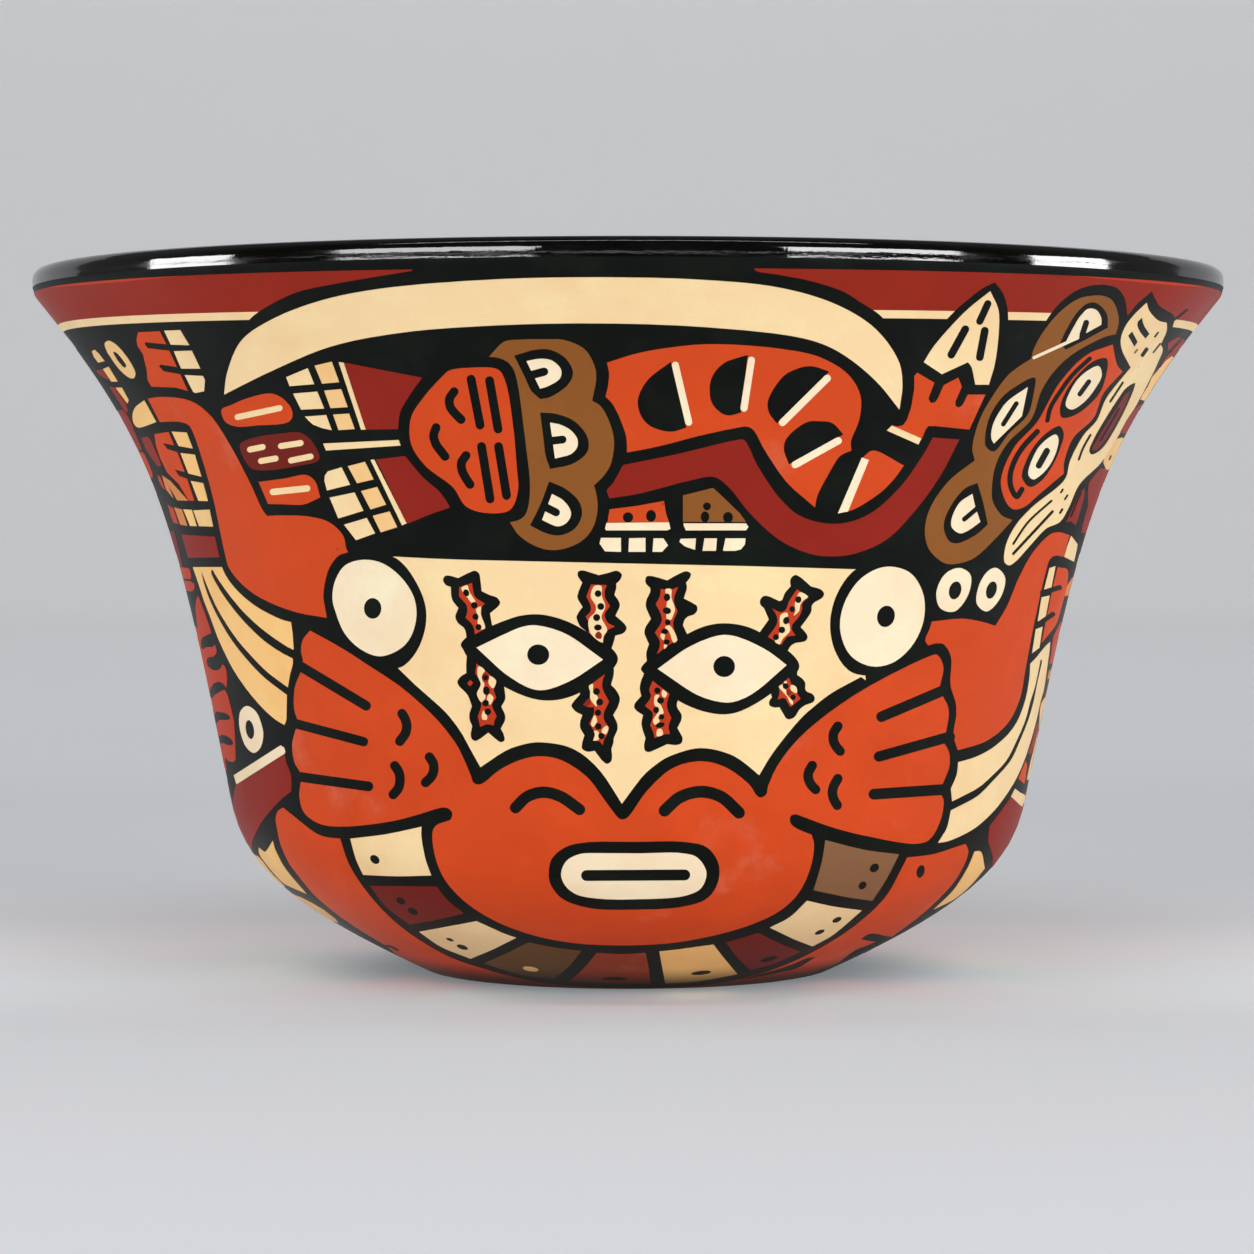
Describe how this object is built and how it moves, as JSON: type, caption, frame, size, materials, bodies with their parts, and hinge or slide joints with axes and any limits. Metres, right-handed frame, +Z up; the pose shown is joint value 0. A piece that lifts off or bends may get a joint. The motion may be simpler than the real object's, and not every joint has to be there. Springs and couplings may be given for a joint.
{
  "type": "flared earthenware cup",
  "caption": "Handleless coil-built clay cup with a flat foot, rounded belly, waisted wall flaring to a rolled lip, and a slip-painted outside; holds a drink or small goods.",
  "frame": {"origin": "middle of the foot's flat face, on the surface that the cup stands on", "axes": "+Z up the cup's turning axis, out of its mouth; -Y is the side that the picture shows"},
  "size_m": [0.165, 0.165, 0.097],
  "materials": {
    "bare_clay": "unslipped fired clay, matt and finely gritty",
    "orange_slip": "burnished orange-red iron slip, satin",
    "cream_slip": "burnished cream slip, satin",
    "brown_slip": "burnished ochre-brown slip, satin",
    "black_slip": "burnished black manganese slip, satin",
    "maroon_slip": "burnished dark red slip, satin",
    "rim_gloss": "highly burnished black lip, glossy"
  },
  "bodies": {
    "root": {"base_pad": "bare_clay", "heel_coil": "orange_slip", "belly_coil": "orange_slip", "lower_wall_coil": "cream_slip", "middle_wall_coil": "brown_slip", "upper_wall_coil": "black_slip", "flare_coil": "maroon_slip", "rim_coil": "rim_gloss"}
  },
  "joints": []
}
